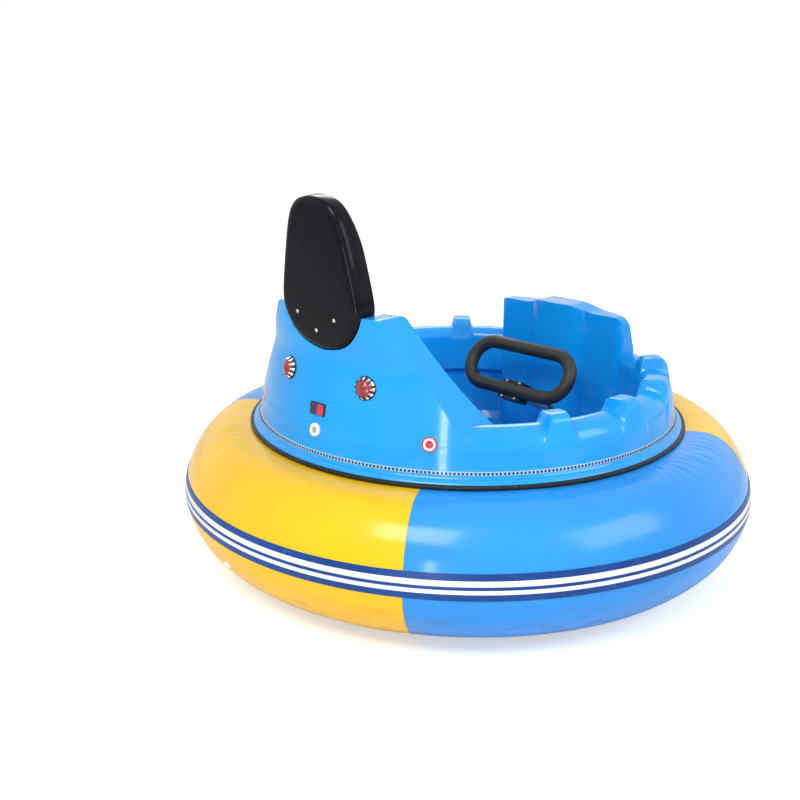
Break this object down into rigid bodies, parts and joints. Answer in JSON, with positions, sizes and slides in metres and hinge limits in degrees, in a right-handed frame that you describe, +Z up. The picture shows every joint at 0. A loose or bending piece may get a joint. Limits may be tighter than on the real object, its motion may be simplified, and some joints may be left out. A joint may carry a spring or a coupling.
{
  "type": "inflatable-ring bumper car",
  "caption": "Battery bumper car: a moulded cockpit with seat and steering loop inside a fat air-filled ring, on a steered front wheel and a rear axle.",
  "frame": {"origin": "on the ground under the centre of the ring", "axes": "+X is the driving direction, +Y is the driver's left, +Z is up"},
  "size_m": [1.9044, 1.9044, 1.2648],
  "materials": {
    "tube_yellow": "glossy welded PVC, yellow",
    "tube_blue": "glossy welded PVC, mid blue",
    "band": "dark blue PVC band with white lines",
    "hull": "gloss gelcoat, sky blue",
    "seat_shell": "gloss black moulding",
    "vinyl": "black vinyl upholstery",
    "black_rubber": "satin black rubber",
    "lamp_black": "black lamp strip",
    "chrome": "bright plated",
    "red_lens": "faceted red lens",
    "white_plastic": "white moulding",
    "steel": "dark grey paint on steel",
    "zinc": "zinc plated steel",
    "tyre": "solid rubber",
    "battery": "battery case"
  },
  "bodies": {
    "chassis": {"tube_front": "tube_yellow", "tube_rear": "tube_yellow", "tube_left": "tube_blue", "tube_right": "tube_blue", "rubbing_band": "band", "air_valve": "white_plastic", "hull_flange": "hull", "coaming_left": "hull", "coaming_right": "hull", "rear_pod": "hull", "front_cowl": "hull", "cockpit_floor": "hull", "cockpit_wall": "hull", "seat_plinth": "hull", "edge_trim": "black_rubber", "lamp_strip": "lamp_black", "seat_back_shell": "seat_shell", "seat_back_pad": "vinyl", "seat_cushion": "vinyl", "jewel_bezel_left": "chrome", "jewel_bezel_right": "chrome", "jewel_lamp_left": "red_lens", "jewel_lamp_right": "red_lens", "side_marker_left": "white_plastic", "side_marker_right": "white_plastic", "tail_light": "red_lens", "charge_cap": "white_plastic", "foot_pedal": "black_rubber", "column_bush": "black_rubber", "chassis_plate": "steel", "frame_rail_left": "steel", "frame_rail_right": "steel", "frame_cross_front": "steel", "frame_cross_rear": "steel", "battery_cradle": "steel", "battery_block": "battery", "rear_axle": "zinc", "axle_hanger_left": "steel", "axle_hanger_right": "steel", "swivel_housing": "steel"},
    "steering": {"steering_loop": "black_rubber", "steering_bracket": "seat_shell", "steering_column": "zinc"},
    "fork": {"steered_fork": "steel", "front_axle": "zinc"},
    "front_wheel": {"front_tyre": "tyre", "front_hub": "zinc"},
    "rear_left_wheel": {"rear_left_tyre": "tyre", "rear_left_hub": "zinc"},
    "rear_right_wheel": {"rear_right_tyre": "tyre", "rear_right_hub": "zinc"}
  },
  "joints": [
    {"name": "steering_turn", "type": "hinge", "parent": "chassis", "child": "steering", "pos_m": [0.243, 0, 0.495], "axis": [-0.866, 0, 0.5], "range_deg": [-60, 60]},
    {"name": "fork_swivel", "type": "hinge", "parent": "chassis", "child": "fork", "pos_m": [0.4, 0, 0.2], "axis": [0, 0, 1], "range_deg": [-60, 60]},
    {"name": "front_wheel_spin", "type": "hinge", "parent": "fork", "child": "front_wheel", "pos_m": [0.4, 0, 0.09], "axis": [0, 1, 0], "continuous": true},
    {"name": "rear_left_spin", "type": "hinge", "parent": "chassis", "child": "rear_left_wheel", "pos_m": [-0.3, 0.33, 0.09], "axis": [0, 1, 0], "continuous": true},
    {"name": "rear_right_spin", "type": "hinge", "parent": "chassis", "child": "rear_right_wheel", "pos_m": [-0.3, -0.33, 0.09], "axis": [0, 1, 0], "continuous": true}
  ],
  "couplings": [
    {"joint": "fork_swivel", "follows": "steering_turn", "ratio": 1}
  ]
}
